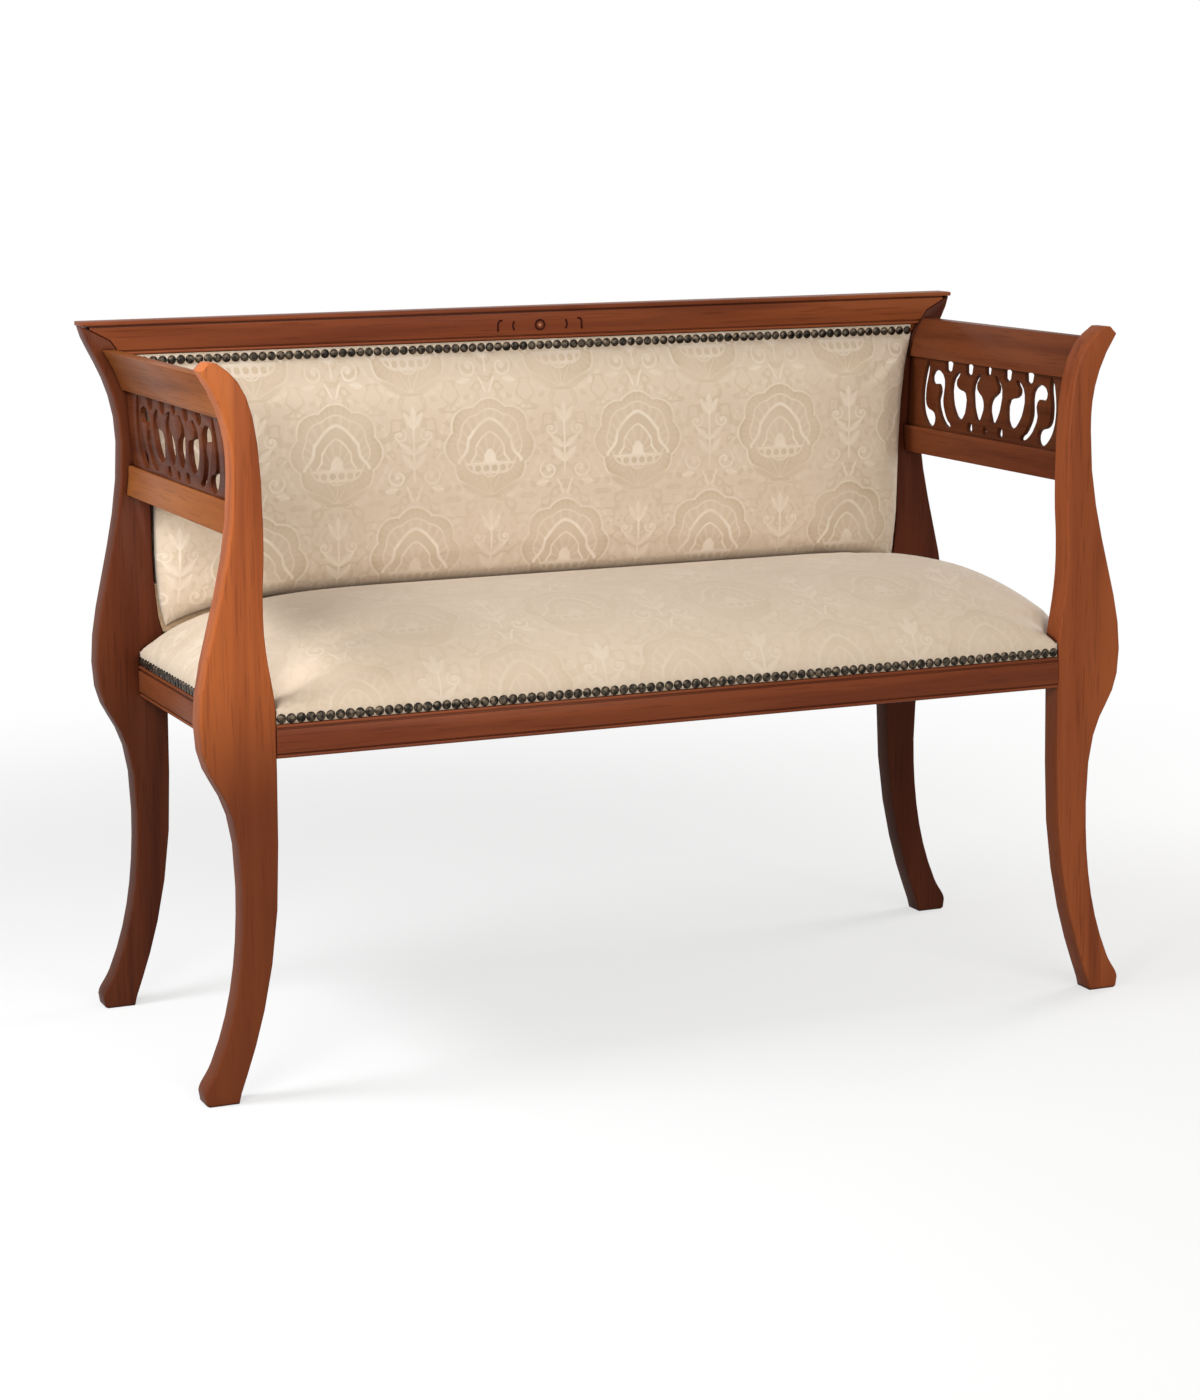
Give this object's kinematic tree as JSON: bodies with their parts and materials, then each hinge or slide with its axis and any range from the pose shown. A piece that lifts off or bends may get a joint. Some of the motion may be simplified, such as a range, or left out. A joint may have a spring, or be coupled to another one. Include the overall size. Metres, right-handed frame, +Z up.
{
  "type": "two-seat settee",
  "caption": "Wooden settee with curved board legs that rise into open arms with pierced panels, padded seat and back in a woven pattern, and nail trim.",
  "frame": {"origin": "middle of the footprint, on the floor", "axes": "+X along the seat to the right hand of someone looking at its front, +Y from the front to the back, +Z up"},
  "size_m": [1.221, 0.487, 0.8718],
  "materials": {
    "lacquered_wood": "satin lacquer, reddish brown",
    "bare_beech": "bare, planed",
    "cream_damask": "woven damask with slightly shiny figures",
    "foam": "open-cell foam",
    "webbing": "jute webbing",
    "black_cloth": "thin dull cloth",
    "antique_bronze": "aged, satin"
  },
  "bodies": {
    "root": {"front_leg_left": "lacquered_wood", "front_leg_right": "lacquered_wood", "rear_leg_left": "lacquered_wood", "rear_leg_right": "lacquered_wood", "seat_rail_front": "lacquered_wood", "seat_rail_rear": "lacquered_wood", "seat_rail_left": "lacquered_wood", "seat_rail_right": "lacquered_wood", "crest_rail": "lacquered_wood", "crest_cap": "lacquered_wood", "arm_rail_upper_left": "lacquered_wood", "arm_rail_upper_right": "lacquered_wood", "arm_rail_lower_left": "lacquered_wood", "arm_rail_lower_right": "lacquered_wood", "arm_fret_left": "lacquered_wood", "arm_fret_right": "lacquered_wood", "seat_cross_rail": "bare_beech", "back_rail_lower": "bare_beech", "corner_block_front_left": "bare_beech", "corner_block_front_right": "bare_beech", "corner_block_rear_left": "bare_beech", "corner_block_rear_right": "bare_beech", "seat_cover": "cream_damask", "back_cover": "cream_damask", "back_outer_cover": "cream_damask", "seat_foam": "foam", "back_foam": "foam", "seat_web_1": "webbing", "seat_web_2": "webbing", "seat_web_3": "webbing", "seat_web_4": "webbing", "seat_web_5": "webbing", "seat_web_6": "webbing", "seat_web_7": "webbing", "seat_web_8": "webbing", "back_web_1": "webbing", "back_web_2": "webbing", "back_web_3": "webbing", "back_web_4": "webbing", "back_web_5": "webbing", "back_web_6": "webbing", "seat_dust_cover": "black_cloth", "nail_strip_seat_front": "antique_bronze", "nail_strip_seat_left": "antique_bronze", "nail_strip_seat_right": "antique_bronze", "nail_strip_back_top": "antique_bronze"}
  },
  "joints": []
}
